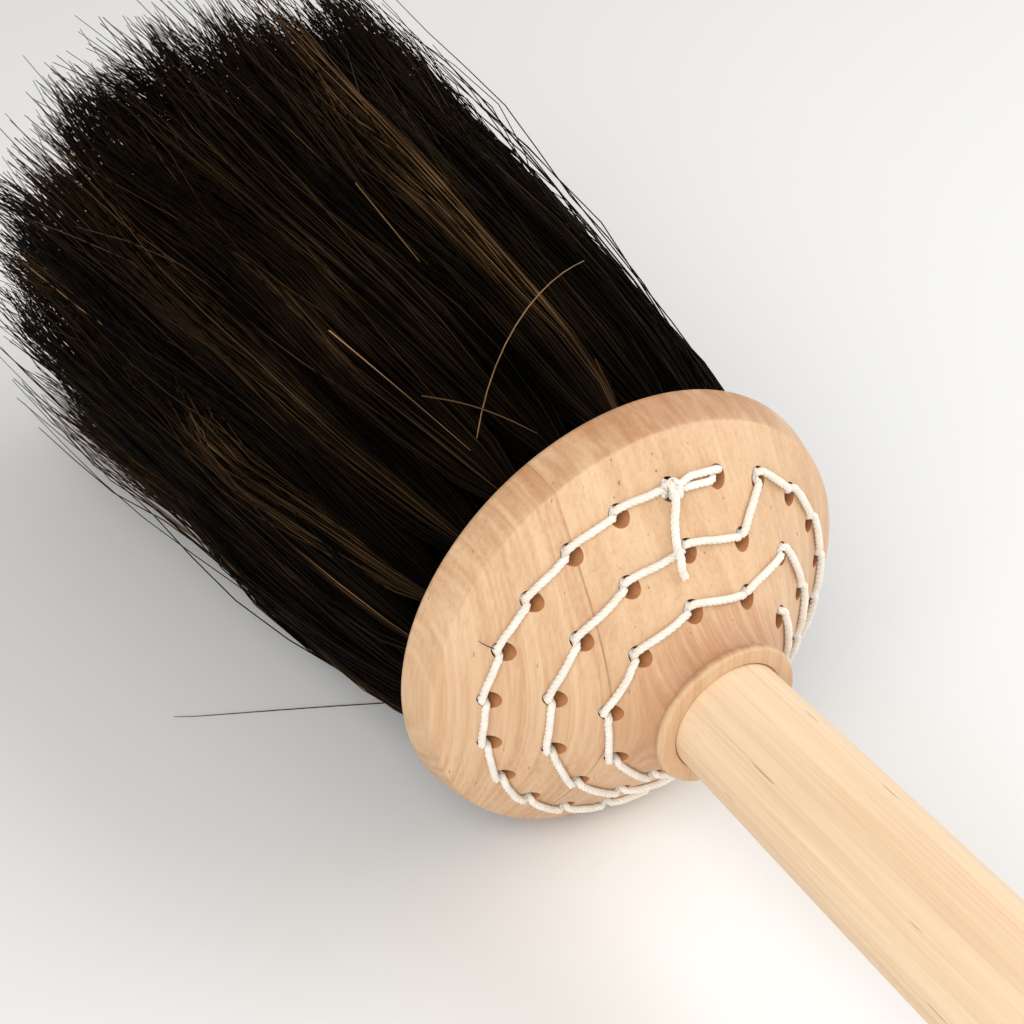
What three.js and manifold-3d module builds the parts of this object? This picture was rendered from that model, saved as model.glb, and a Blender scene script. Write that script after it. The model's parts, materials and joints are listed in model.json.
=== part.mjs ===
// Round, hand-drawn bee brush: a turned birch head on a straight birch handle, with horsehair
// bundles drawn into stepped holes by one long white twine that shows on the head's back.
//
// Units are millimetres. The brush is drawn along its own axis, +X: 0 is the middle of the widest
// ring of the head, the hair grows towards +X and the handle runs towards -X. At the end the whole
// brush is laid on its side on the plane Z = 0, resting on its rim and on the tips of the hair.
import * as THREE from 'three';
import { mergeVertices } from 'three/addons/utils/BufferGeometryUtils.js';
import Module from 'manifold-3d';

// Head
const HEAD_RADIUS = 54;
const HEAD_SIDES = 48;
const CREASE_RADIUS = 51.8; // where the rim band turns into the cone-shaped back
const BAND_LENGTH = 8.4; // from the widest ring back to the crease
const CONE_SLOPE = 0.72; // rise along the axis for each millimetre of radius
const COVE_RADIUS = 10; // hollow between the cone and the collar
const NECK_RADIUS = 15.5; // where the hollow would be deepest, just under the collar's end
const COLLAR_EDGE = 1.2; // rounding of the collar's rim
const COLLAR_RADIUS = 17.7;
const COLLAR_END = -39.8;
const FRONT_EDGE = 1.5; // rounding of the front edge
const FRONT_DOME = 3.4; // how far the middle of the front face stands out
const SOCKET_DEPTH = 25.4;

// Handle
const HANDLE_SIDES = 24;
const HANDLE_RADIUS = 13; // in the socket and at the collar
const HANDLE_BELLY = 14.1; // at its thickest
const HANDLE_TAIL = 12.8; // just before the rounded end
const HANDLE_LENGTH = 205; // outside the collar
const HANDLE_ROUNDING = 6;
const GAP = 0.3; // between pieces that touch

// Holes and hair
const RINGS = [
  { name: 'outer', count: 22, radius: 42.3, firstAngle: 105.8 },
  { name: 'middle', count: 14, radius: 31.8, firstAngle: 114.8 },
  { name: 'inner', count: 10, radius: 22.3, firstAngle: 117.6 },
];
const HOLE_SIDES = 8;
const TWINE_HOLE_RADIUS = 2.6;
const TWINE_HOLE_DEPTH = 6.8; // from the back of the head to the wider bore
const BORE_RADIUS = 3.5;
const ROOT_RADIUS = 3;
const HAIR_LENGTH = 192; // from the widest ring to the tips
const HAIR_LENGTH_SPREAD = 4;
const HAIR_RADIUS_AT_HEAD = 49;
const HAIR_RADIUS_AT_TIPS = 69;
const HAIR_SWELL = 0.6; // below 1, the brush of hair spreads most just beyond the head
const HAIR_FILLED_OUT = 16; // where neighbouring bundles meet
const HAIR_MIDDLE = 80;
const BUNDLE_GAP = 0.4;

// Twine
const TWINE_RADIUS = 1.05;
const TWINE_SIDES = 6;
const TWINE_LIFT = 1.5; // centre line of the twine above the wood
const STRAND_OFFSET = 1.12; // each strand beside the middle of its hole
const STRAND_OUTWARD = 0.3; // strands lean to the rim side of the hole
const LOOP_DEPTH = 5.2; // bottom of the twine's loop inside the hole
const CLEAR_OF_MOUTH = 2.9; // where a stitch has come up to its full height
const KNOT_RADII = [1.9, 2.8, 1.7]; // along the stitch, across it and off the wood
const KNOT_LIFT = 3.3;

// How the brush lies: its axis rises this much towards the hair
const LYING_TILT = THREE.MathUtils.degToRad(1.5);

const CONE_ANGLE = Math.atan(CONE_SLOPE);
const WIDEST = -1; // where the rim has its full radius
const RIM_FLAT = HEAD_RADIUS * Math.cos(Math.PI / HEAD_SIDES); // axis to the middle of a rim facet

const birchHead = { color: 0xdcb68c, roughness: 0.55, metalness: 0 };
const birchHandle = { color: 0xead3ae, roughness: 0.5, metalness: 0 };
const horsehair = { color: 0x2a201a, roughness: 0.45, metalness: 0 };
const whiteTwine = { color: 0xeee6d8, roughness: 0.9, metalness: 0 };

const wasm = await Module();
wasm.setup();

function namedMesh(name, geometry, look) {
  const mesh = new THREE.Mesh(geometry, new THREE.MeshStandardMaterial(look));
  mesh.name = name;
  return mesh;
}

function toSolid(geometry) {
  const bare = geometry.clone();
  bare.deleteAttribute('normal');
  bare.deleteAttribute('uv');
  const merged = mergeVertices(bare, 1e-4);
  return new wasm.Manifold(new wasm.Mesh({
    numProp: 3,
    vertProperties: new Float32Array(merged.attributes.position.array),
    triVerts: new Uint32Array(merged.index.array),
  }));
}

function toGeometry(solid) {
  const { vertProperties, triVerts } = solid.getMesh();
  const geometry = new THREE.BufferGeometry();
  geometry.setAttribute('position', new THREE.BufferAttribute(vertProperties, 3));
  geometry.setIndex(new THREE.BufferAttribute(triVerts, 1));
  return geometry;
}

// Points of a round stretch of an outline, in [radius, along] pairs.
function arc(radius, along, size, fromDegrees, toDegrees, steps) {
  const points = [];
  for (let i = 0; i <= steps; i += 1) {
    const turn = THREE.MathUtils.degToRad(THREE.MathUtils.lerp(fromDegrees, toDegrees, i / steps));
    points.push([radius + size * Math.cos(turn), along + size * Math.sin(turn)]);
  }
  return points;
}

// Turns an outline about the brush's axis, with a flat facet facing straight down.
function turned(outline, sides) {
  const profile = outline.map(([radius, along]) => new THREE.Vector2(radius, along));
  const geometry = new THREE.LatheGeometry(profile, sides, Math.PI / sides);
  geometry.rotateZ(-Math.PI / 2);
  return geometry;
}

// Along-position of the cone-shaped back at a radius.
function backAlong(radius) {
  return -BAND_LENGTH - (CREASE_RADIUS - radius) * CONE_SLOPE;
}

function headOutline() {
  const socketRadius = HANDLE_RADIUS + GAP;
  const coveDegrees = THREE.MathUtils.radToDeg(CONE_ANGLE);
  const coveStart = NECK_RADIUS + COVE_RADIUS * (1 - Math.sin(CONE_ANGLE));
  const coveRadius = NECK_RADIUS + COVE_RADIUS;
  const coveAlong = backAlong(coveStart) - COVE_RADIUS * Math.cos(CONE_ANGLE);
  const edgeAlong = COLLAR_END + COLLAR_EDGE;
  return [
    [0, COLLAR_END + SOCKET_DEPTH],
    [socketRadius, COLLAR_END + SOCKET_DEPTH],
    [socketRadius, COLLAR_END],
    ...arc(COLLAR_RADIUS - COLLAR_EDGE, edgeAlong, COLLAR_EDGE, -90, 60, 4),
    ...arc(coveRadius, coveAlong, COVE_RADIUS, 165, 90 + coveDegrees, 4),
    [CREASE_RADIUS - 0.9, backAlong(CREASE_RADIUS - 0.9)],
    [CREASE_RADIUS + 0.1, -BAND_LENGTH + 1],
    [HEAD_RADIUS, WIDEST],
    ...arc(HEAD_RADIUS - FRONT_EDGE, WIDEST + 0.8, FRONT_EDGE, 15, 85, 2),
    [HEAD_RADIUS / 2, FRONT_DOME - 0.7],
    [0, FRONT_DOME],
  ];
}

// Every hole in the order in which the twine is stitched: ring by ring from the outside in.
function stitchedHoles() {
  const holes = [];
  RINGS.forEach((ring, ringIndex) => {
    for (let i = 0; i < ring.count; i += 1) {
      const degrees = ring.firstAngle - (i * 360) / ring.count;
      holes.push({
        ring,
        ringIndex,
        number: i + 1,
        angle: THREE.MathUtils.degToRad(degrees),
        radius: ring.radius,
        boreStart: backAlong(ring.radius) + TWINE_HOLE_DEPTH,
      });
    }
  });
  return holes;
}

const holes = stitchedHoles();

// Unit vector away from the axis.
function outwardAt(angle) {
  return new THREE.Vector3(0, Math.cos(angle), Math.sin(angle));
}

function holeCutter(hole) {
  const backOpening = COLLAR_END;
  const frontOpening = FRONT_DOME + 2;
  const cutter = turned([
    [0, backOpening],
    [TWINE_HOLE_RADIUS, backOpening],
    [TWINE_HOLE_RADIUS, hole.boreStart],
    [BORE_RADIUS, hole.boreStart],
    [BORE_RADIUS, frontOpening],
    [0, frontOpening],
  ], HOLE_SIDES);
  const centre = outwardAt(hole.angle).multiplyScalar(hole.radius);
  cutter.rotateX(hole.angle);
  cutter.translate(centre.x, centre.y, centre.z);
  return cutter;
}

function makeHead() {
  let head = toSolid(turned(headOutline(), HEAD_SIDES));
  for (const hole of holes) {
    head = head.subtract(toSolid(holeCutter(hole)));
  }
  return namedMesh('head_block', toGeometry(head), birchHead);
}

function makeHandle() {
  const inner = COLLAR_END + SOCKET_DEPTH - GAP;
  const end = COLLAR_END - HANDLE_LENGTH;
  const swelling = 10;
  const outline = [[0, end]];
  const roundingRadius = HANDLE_TAIL - HANDLE_ROUNDING;
  outline.push(...arc(roundingRadius, end + HANDLE_ROUNDING, HANDLE_ROUNDING, -90, 0, 4));
  for (let i = 1; i <= swelling; i += 1) {
    const share = i / swelling;
    const along = THREE.MathUtils.lerp(end + HANDLE_ROUNDING, COLLAR_END - 2, share);
    const straight = THREE.MathUtils.lerp(HANDLE_TAIL, HANDLE_RADIUS, share);
    const belly = (HANDLE_BELLY - HANDLE_RADIUS) * Math.sin(Math.PI * share);
    outline.push([straight + belly, along]);
  }
  outline.push([HANDLE_RADIUS, inner - 1]);
  outline.push([HANDLE_RADIUS - 1, inner]);
  outline.push([0, inner]);
  return namedMesh('handle', turned(outline, HANDLE_SIDES), birchHandle);
}

// Joins matching rings of points into one closed body.
function loft(rings) {
  const sides = rings[0].length;
  const positions = rings.flat().flatMap((point) => point.toArray());
  const triangles = [];
  for (let r = 0; r + 1 < rings.length; r += 1) {
    for (let s = 0; s < sides; s += 1) {
      const here = r * sides + s;
      const beside = r * sides + ((s + 1) % sides);
      triangles.push(here, beside, here + sides);
      triangles.push(beside, beside + sides, here + sides);
    }
  }
  const last = (rings.length - 1) * sides;
  for (let s = 1; s + 1 < sides; s += 1) {
    triangles.push(0, s + 1, s);
    triangles.push(last, last + s, last + s + 1);
  }
  const geometry = new THREE.BufferGeometry();
  geometry.setAttribute('position', new THREE.Float32BufferAttribute(positions, 3));
  geometry.setIndex(triangles);
  return geometry;
}

// Outer radius of the whole brush of hair at a place along it.
function hairRadius(along) {
  const share = (along / HAIR_LENGTH) ** HAIR_SWELL;
  return THREE.MathUtils.lerp(HAIR_RADIUS_AT_HEAD, HAIR_RADIUS_AT_TIPS, share);
}

// The lying brush presses its lowest hair flat: distance from the axis down to the table.
function tableDistance(along) {
  return RIM_FLAT + (along - WIDEST) * Math.tan(LYING_TILT);
}

// Each ring of bundles fills a share of the round section that matches its number of bundles.
function cellRadii(ringIndex, along) {
  const total = RINGS.reduce((sum, ring) => sum + ring.count, 0);
  const inside = RINGS.slice(ringIndex + 1).reduce((sum, ring) => sum + ring.count, 0);
  const filled = inside + RINGS[ringIndex].count;
  const whole = hairRadius(along);
  return [whole * Math.sqrt(inside / total), whole * Math.sqrt(filled / total)];
}

function insideCell(hole, along, y, z) {
  const [inner, outer] = cellRadii(hole.ringIndex, along);
  const halfGap = BUNDLE_GAP / 2;
  const radius = Math.hypot(y, z);
  const halfWidth = Math.PI / hole.ring.count;
  let turn = Math.abs(Math.atan2(z, y) - hole.angle) % (2 * Math.PI);
  turn = Math.min(turn, 2 * Math.PI - turn);
  return radius > inner + halfGap
    && radius < outer - halfGap
    && turn < halfWidth
    && radius * Math.sin(halfWidth - turn) > halfGap
    && -z < tableDistance(along);
}

// Section of one bundle where it has spread to fill its cell: the reach in every direction is
// halved down until it just meets the cell's edge.
function bundleSection(hole, along) {
  const [inner, outer] = cellRadii(hole.ringIndex, along);
  const lowest = Math.sin(hole.angle) < 0 ? tableDistance(along) / -Math.sin(hole.angle) : outer;
  const middle = (Math.max(inner, 0.3 * outer) + Math.min(outer, lowest)) / 2;
  const centre = outwardAt(hole.angle).multiplyScalar(middle);
  const section = [];
  for (let i = 0; i < HOLE_SIDES; i += 1) {
    const direction = outwardAt(hole.angle + (i * 2 * Math.PI) / HOLE_SIDES);
    let reach = 0;
    for (let step = outer; step > 0.001; step /= 2) {
      const tried = centre.clone().addScaledVector(direction, reach + step);
      if (insideCell(hole, along, tried.y, tried.z)) {
        reach += step;
      }
    }
    section.push(centre.clone().addScaledVector(direction, reach).setX(along));
  }
  return section;
}

function rootSection(hole, along) {
  const centre = outwardAt(hole.angle).multiplyScalar(hole.radius);
  const section = [];
  for (let i = 0; i < HOLE_SIDES; i += 1) {
    const direction = outwardAt(hole.angle + (i * 2 * Math.PI) / HOLE_SIDES);
    section.push(centre.clone().addScaledVector(direction, ROOT_RADIUS).setX(along));
  }
  return section;
}

function makeBundle(hole, order) {
  const tip = HAIR_LENGTH + HAIR_LENGTH_SPREAD * Math.sin(order * 2.4);
  const body = loft([
    rootSection(hole, hole.boreStart + GAP),
    rootSection(hole, FRONT_DOME + GAP),
    bundleSection(hole, HAIR_FILLED_OUT),
    bundleSection(hole, HAIR_MIDDLE),
    bundleSection(hole, tip),
  ]);
  const number = String(hole.number).padStart(2, '0');
  return namedMesh(`tuft_${hole.ring.name}_${number}`, body, horsehair);
}

// A smooth path that an extrusion samples exactly at the points it was made from.
class ThreadPath extends THREE.CatmullRomCurve3 {
  getUtoTmapping(u) {
    return u;
  }
}

function twineAlong(points) {
  const section = new THREE.Shape();
  for (let i = 0; i < TWINE_SIDES; i += 1) {
    const turn = (i * 2 * Math.PI) / TWINE_SIDES;
    const x = TWINE_RADIUS * Math.cos(turn);
    const y = TWINE_RADIUS * Math.sin(turn);
    if (i === 0) {
      section.moveTo(x, y);
    } else {
      section.lineTo(x, y);
    }
  }
  return new THREE.ExtrudeGeometry(section, {
    steps: points.length - 1,
    extrudePath: new ThreadPath(points),
  });
}

// Unit vector square to the cone-shaped back, away from the wood.
function backNormal(angle) {
  const normal = outwardAt(angle).multiplyScalar(Math.sin(CONE_ANGLE));
  normal.x = -Math.cos(CONE_ANGLE);
  return normal;
}

// A point above the back of the head.
function abovePoint(angle, radius, lift) {
  const point = outwardAt(angle).multiplyScalar(radius).setX(backAlong(radius));
  return point.addScaledVector(backNormal(angle), lift);
}

// Where the strands cross the mouth of a hole. Two strands lie side by side in the first hole, so
// they keep to its middle.
function mouth(hole) {
  const lean = hole === holes[0] ? 0 : STRAND_OUTWARD;
  return abovePoint(hole.angle, hole.radius + lean, 0);
}

function heading(from, to) {
  return mouth(to).sub(mouth(from)).normalize();
}

// The way the twine leaves one hole, runs over the wood and arrives above the next.
function overStitch(from, to) {
  const direction = heading(from, to);
  const start = mouth(from).addScaledVector(direction, CLEAR_OF_MOUTH);
  const finish = mouth(to).addScaledVector(direction, -CLEAR_OF_MOUTH);
  start.addScaledVector(backNormal(from.angle), TWINE_LIFT);
  finish.addScaledVector(backNormal(to.angle), TWINE_LIFT);
  let turn = to.angle - from.angle;
  turn -= 2 * Math.PI * Math.round(turn / (2 * Math.PI));
  const middleRadius = (from.radius + to.radius) / 2 + STRAND_OUTWARD;
  const middle = abovePoint(from.angle + turn / 2, middleRadius, TWINE_LIFT);
  return [start, middle, finish];
}

// The loop down one hole and up again, round the fold of its bundle.
function holeLoop(hole, arriving, leaving) {
  const across = arriving.clone().add(leaving).normalize();
  const lip = backNormal(hole.angle).multiplyScalar(0.6);
  const entry = mouth(hole).addScaledVector(across, -STRAND_OFFSET);
  const exit = mouth(hole).addScaledVector(across, STRAND_OFFSET);
  const down = new THREE.Vector3(1, 0, 0);
  return [
    entry.clone().add(lip),
    entry.clone().addScaledVector(down, LOOP_DEPTH - 1.3),
    mouth(hole).addScaledVector(down, LOOP_DEPTH),
    exit.clone().addScaledVector(down, LOOP_DEPTH - 1.3),
    exit.clone().add(lip),
  ];
}

// The twine starts with one strand that comes from the knot to the first hole and a second strand
// that runs back under the knot into the second hole; from there each stitch goes on to the next.
function stitchingRoute() {
  const [first, second] = holes;
  const strandSpacing = 2 * STRAND_OFFSET;
  const outward = outwardAt(first.angle);
  const inward = outward.clone().negate();
  const [, middle, finish] = overStitch(second, first);
  const besideKnot = mouth(second)
    .addScaledVector(heading(second, first), KNOT_RADII[0] + 0.5)
    .addScaledVector(outward, 1.7)
    .addScaledVector(backNormal(second.angle), KNOT_LIFT - 0.4);
  const route = [
    besideKnot,
    middle.addScaledVector(outward, strandSpacing),
    finish.addScaledVector(outward, strandSpacing / 2),
    ...holeLoop(first, inward, inward),
  ];
  for (let i = 1; i < holes.length; i += 1) {
    const from = holes[i - 1];
    const hole = holes[i];
    route.push(...overStitch(from, hole));
    const next = holes[i + 1];
    if (next) {
      route.push(...holeLoop(hole, heading(from, hole), heading(hole, next)));
    } else {
      route.push(...holeLoop(hole, heading(from, hole), heading(from, hole)).slice(0, 3));
    }
  }
  return route;
}

function makeTwine() {
  return namedMesh('stitching_twine', twineAlong(stitchingRoute()), whiteTwine);
}

// The knot sits on top of the second hole.
function makeKnot() {
  const hole = holes[1];
  const lump = new THREE.SphereGeometry(1, 10, 7);
  lump.scale(...KNOT_RADII);
  const along = heading(hole, holes[0]);
  const off = backNormal(hole.angle);
  const across = off.clone().cross(along).normalize();
  along.crossVectors(across, off);
  lump.applyMatrix4(new THREE.Matrix4().makeBasis(along, across, off));
  const middle = mouth(hole).addScaledVector(off, KNOT_LIFT);
  lump.translate(middle.x, middle.y, middle.z);
  return namedMesh('start_knot', lump, whiteTwine);
}

// The loose start of the twine runs from the knot over the first stitch behind the middle ring's
// second hole, and ends just past it.
function makeTail() {
  const knotHole = holes[1];
  const crossed = holes[RINGS[0].count + 1];
  const crossing = crossed.angle - 3 / crossed.radius;
  const overStrand = TWINE_LIFT + 2 * TWINE_RADIUS + GAP;
  const angleAt = (share) => THREE.MathUtils.lerp(knotHole.angle, crossing, share);
  const knotEdge = knotHole.radius - KNOT_RADII[1] - 0.2;
  const points = [
    abovePoint(angleAt(0), knotEdge, KNOT_LIFT - 0.8),
    abovePoint(angleAt(0.2), knotEdge - 2, TWINE_LIFT),
    abovePoint(angleAt(0.7), crossed.radius + 3.6, TWINE_LIFT + 0.2),
    abovePoint(angleAt(0.9), crossed.radius + 1.8, overStrand - 0.3),
    abovePoint(angleAt(1), crossed.radius + 0.2, overStrand + 0.1),
    abovePoint(angleAt(1.1), crossed.radius - 1.9, overStrand - 0.8),
    abovePoint(angleAt(1.15), crossed.radius - 3.6, TWINE_LIFT),
  ];
  return namedMesh('twine_tail', twineAlong(points), whiteTwine);
}

const part = new THREE.Group();
const brush = new THREE.Group();
brush.add(makeHead(), makeHandle(), makeTwine(), makeKnot(), makeTail());
holes.forEach((hole, order) => brush.add(makeBundle(hole, order)));

// Lay the brush down, then bring the middle of its underside to the origin.
brush.rotation.y = -LYING_TILT;
part.add(brush);
part.updateMatrixWorld(true);
const box = new THREE.Box3().setFromObject(part, true);
const centre = box.getCenter(new THREE.Vector3());
brush.position.set(-centre.x, -centre.y, -box.min.z);

export default part;
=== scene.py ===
import json
import math

import bpy
import numpy as np
from mathutils import Matrix, Vector


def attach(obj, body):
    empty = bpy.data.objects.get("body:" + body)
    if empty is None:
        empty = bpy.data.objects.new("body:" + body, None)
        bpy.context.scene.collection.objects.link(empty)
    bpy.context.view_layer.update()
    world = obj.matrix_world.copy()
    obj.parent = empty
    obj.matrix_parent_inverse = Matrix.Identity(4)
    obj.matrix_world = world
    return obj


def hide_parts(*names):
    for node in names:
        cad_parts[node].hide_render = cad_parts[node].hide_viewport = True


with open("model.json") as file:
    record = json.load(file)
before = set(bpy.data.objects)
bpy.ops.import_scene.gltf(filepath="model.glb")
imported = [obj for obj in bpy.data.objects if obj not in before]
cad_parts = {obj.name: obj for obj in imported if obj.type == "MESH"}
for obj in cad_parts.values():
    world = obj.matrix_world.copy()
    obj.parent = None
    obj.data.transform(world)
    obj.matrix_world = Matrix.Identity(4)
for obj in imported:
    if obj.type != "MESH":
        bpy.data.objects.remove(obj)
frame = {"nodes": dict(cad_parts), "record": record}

MM = 0.001

# Frame
BUTT_TO_WIDEST_RING = 244.8 * MM

# Camera, in metres from the middle of the widest ring and in the frame's directions
CAMERA_PLACE = (-0.26843, 0.19697, 0.27939)
CAMERA_SIGHT = (0.6715, -0.4251, -0.6069)
SENSOR_WIDTH = 36
FOCAL_LENGTH = 70.31

# Lights and floor, with distances in metres; each lamp is a name, a direction, watts and a colour
DAYLIGHT = (0.985, 0.992, 1.0)
ROOM_LIGHT = (1.0, 0.985, 0.965)
LAMP_DISTANCE = 1.3
LAMP_SIZE = 1.0
LAMPS = (
    ("window_near", (-0.45, -0.85, 0.6), 6.9, DAYLIGHT),
    ("window_far", (0.0, -0.8, 0.7), 5.0, DAYLIGHT),
    ("room_low", (-0.9, 0.45, 0.3), 4.1, ROOM_LIGHT),
    ("room_high", (-0.5, 0.6, 0.7), 10.6, ROOM_LIGHT),
)
SURROUNDINGS = (255, 247, 239)
SURROUNDINGS_STRENGTH = 0.48
TABLE_COLOUR = (229, 231, 232)
TABLE_REACH = 4.0

# Head
HEAD_SIDES = 256
HEAD_RADIUS = 53.86
CREASE_RADIUS = 51.8
BAND_LENGTH = 8.4
BAND_BULGE = 0.12
RIM_EDGE = 1.5
CONE_SLOPE = 0.72
CONE_ANGLE = math.atan(CONE_SLOPE)
COVE_RADIUS = 12.5
NECK_RADIUS = 15.2
COLLAR_EDGE = 1.1
COLLAR_RADIUS = 17.1
COLLAR_END = -39.8
FRONT_DOME = 3.4
SOCKET_DEPTH = 25.4
SOCKET_RADIUS = 13.12
SOCKET_CHAMFER = 0.3
SOCKET_CHAMFER_DEPTH = 0.35

# Handle
HANDLE_SIDES = 96
HANDLE_RADIUS = 13.0
HANDLE_BELLY = 14.1
HANDLE_TAIL = 12.8
HANDLE_LENGTH = 205.0
HANDLE_ROUNDING = 6.0
HANDLE_STEPS = 48

# Birch: tones are the light ground, the deep ground, the streaks and the end grain
HEAD_FIBRE = (-0.022, 0.037, -0.999)
HEAD_GROWTH = (-0.132, 0.991, 0.039)
HEAD_SEAM = 25.9
HEAD_TONES = ((214, 183, 147), (197, 159, 122), (181, 133, 94), (160, 108, 68))
HEAD_STREAKS = 9
SEAM_COLOUR = (128, 84, 52)
# Painted shade in the head's hollow by the collar, over real dark streaks: its colour, middle and
# reach
COVE_SHADE_AND_STREAK_COLOUR = (168, 112, 70)
COVE_MIDDLE = COLLAR_END + 7.0
COVE_DARK_WITHIN = 16.6
COVE_LIGHT_BEYOND = 27.0
COLLAR_BEHIND = 5.2
# Painted shade on the walls of the twine holes, between these distances from the axis
HOLE_WALL_SHADE_COLOUR = (178, 116, 66)
HOLES_FROM = 18.5
HOLES_TO = 49.5
HANDLE_FIBRE = (1.0, 0.012, -0.008)
HANDLE_GROWTH = (0.0, 0.35, 0.94)
HANDLE_TONES = ((236, 213, 182), (220, 191, 155), (203, 163, 124), (180, 138, 98))
HANDLE_STREAKS = 4
FLECK_COLOUR = (92, 54, 32)

# Holes
RINGS = ("outer", "middle", "inner")
TWINE_HOLE_RADIUS = 2.15
TWINE_HOLE_DEPTH = 6.8
BORE_RADIUS = 3.5
BORE_SIDES = 28

# Twine
TWINE_RADIUS = 0.86
PLIES = 4
PLY_RADIUS = 0.47
PLY_SIDES = 8
TWIST_PITCH = 5.0
TWINE_STEP = 0.4
STRAND_LIFT = 0.84
KNOT_TWINE_RADIUS = 0.8
TAIL_TWINE_RADIUS = 0.92
LOOSE_PLY_RADIUS = 0.17
TWINE_WHITE = (234, 230, 222)
TWINE_CREAM = (224, 216, 204)
# Painted shade between the twine's fibres
TWINE_FIBRE_SHADE = (190, 178, 158)
TWINE_MEAN = (228, 219, 205)

# Where a strand meets a hole: its distance from the middle along the stitch and towards the rim
ARRIVES_BEFORE = 1.3
ARRIVES_RIMWARDS = 1.5
LEAVES_AFTER = 2.5
LEAVES_RIMWARDS = 0.75

# Hair
HAIR_LENGTH = 192.0
HAIR_RADIUS_AT_HEAD = 47.5
HAIR_RADIUS_AT_TIPS = 65.5
HAIR_SWELL = 0.6
HAIR_LOOSE_RADIUS = 71.0
HAIR_PULLED_IN = 0.6
LONGEST_PAST_TIPS = 18.0
ROOT_RADIUS = 2.7
LOCKS = 9
STRANDS_PER_TUFT = 500
STRAND_POINTS = 12
STRAND_SIDES = 3
HAIR_MEAN = (20, 14, 9)
HAIR_COLOURS = (
    (0.0, (10, 8, 5)),
    (0.3, (17, 12, 7)),
    (0.58, (47, 34, 20)),
    (0.86, (104, 77, 50)),
    (1.0, (172, 134, 96)),
)
SEED = 20


def srgb(red, green, blue):
    """Linear colour of an 8-bit display colour."""
    def linear(value):
        share = value / 255
        return share / 12.92 if share <= 0.04045 else ((share + 0.055) / 1.055) ** 2.4
    return (linear(red), linear(green), linear(blue), 1.0)


def brush_matrix(record):
    """Brush coordinates to the frame, from the flat end of the handle."""
    butt = next(mount for mount in record["mounts"] if mount["name"] == "butt_end")
    along = -Vector(butt["axis"]).normalized()
    origin = Vector(butt["pos_m"]) + along * BUTT_TO_WIDEST_RING
    sideways = Vector((0, 1, 0))
    upwards = along.cross(sideways).normalized()
    placed = Matrix((along, sideways, upwards)).transposed().to_4x4()
    placed.translation = origin
    return placed


BRUSH = brush_matrix(frame["record"])
AXIS = BRUSH.to_3x3() @ Vector((1, 0, 0))
TILT = math.asin(BRUSH.col[0][2])
AXIS_HEIGHT = BRUSH.translation.z / MM


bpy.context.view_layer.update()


# Camera, lights and floor

def add_camera():
    data = bpy.data.cameras.new("camera")
    data.sensor_width = SENSOR_WIDTH
    data.lens = FOCAL_LENGTH
    camera = bpy.data.objects.new("camera", data)
    bpy.context.scene.collection.objects.link(camera)
    camera.location = BRUSH.translation + Vector(CAMERA_PLACE)
    camera.rotation_mode = "QUATERNION"
    camera.rotation_quaternion = Vector(CAMERA_SIGHT).to_track_quat("-Z", "Y")
    bpy.context.scene.camera = camera


def add_lamp(name, direction, power, colour):
    data = bpy.data.lights.new(name, "AREA")
    data.shape = "DISK"
    data.size = LAMP_SIZE
    data.energy = power
    data.color = colour
    lamp = bpy.data.objects.new(name, data)
    bpy.context.scene.collection.objects.link(lamp)
    towards = Vector(direction).normalized()
    lamp.location = BRUSH.translation + towards * LAMP_DISTANCE
    lamp.rotation_mode = "QUATERNION"
    lamp.rotation_quaternion = (-towards).to_track_quat("-Z", "Y")


def add_world():
    world = bpy.data.worlds.new("soft_room")
    world.use_nodes = True
    background = world.node_tree.nodes["Background"]
    background.inputs["Color"].default_value = srgb(*SURROUNDINGS)
    background.inputs["Strength"].default_value = SURROUNDINGS_STRENGTH
    bpy.context.scene.world = world


def add_floor():
    mesh = bpy.data.meshes.new("floor")
    near, far = -TABLE_REACH, TABLE_REACH
    corner_points = [(near, near, 0), (far, near, 0), (far, far, 0), (near, far, 0)]
    mesh.from_pydata(corner_points, [], [(0, 1, 2, 3)])
    material = bpy.data.materials.new("pale_table")
    material.use_nodes = True
    shader = material.node_tree.nodes["Principled BSDF"]
    shader.inputs["Base Color"].default_value = srgb(*TABLE_COLOUR)
    shader.inputs["Roughness"].default_value = 0.7
    mesh.materials.append(material)
    floor = bpy.data.objects.new("floor", mesh)
    bpy.context.scene.collection.objects.link(floor)


add_camera()
for lamp_settings in LAMPS:
    add_lamp(*lamp_settings)
add_world()
add_floor()
bpy.context.scene.view_settings.view_transform = "Standard"


# Materials

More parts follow.
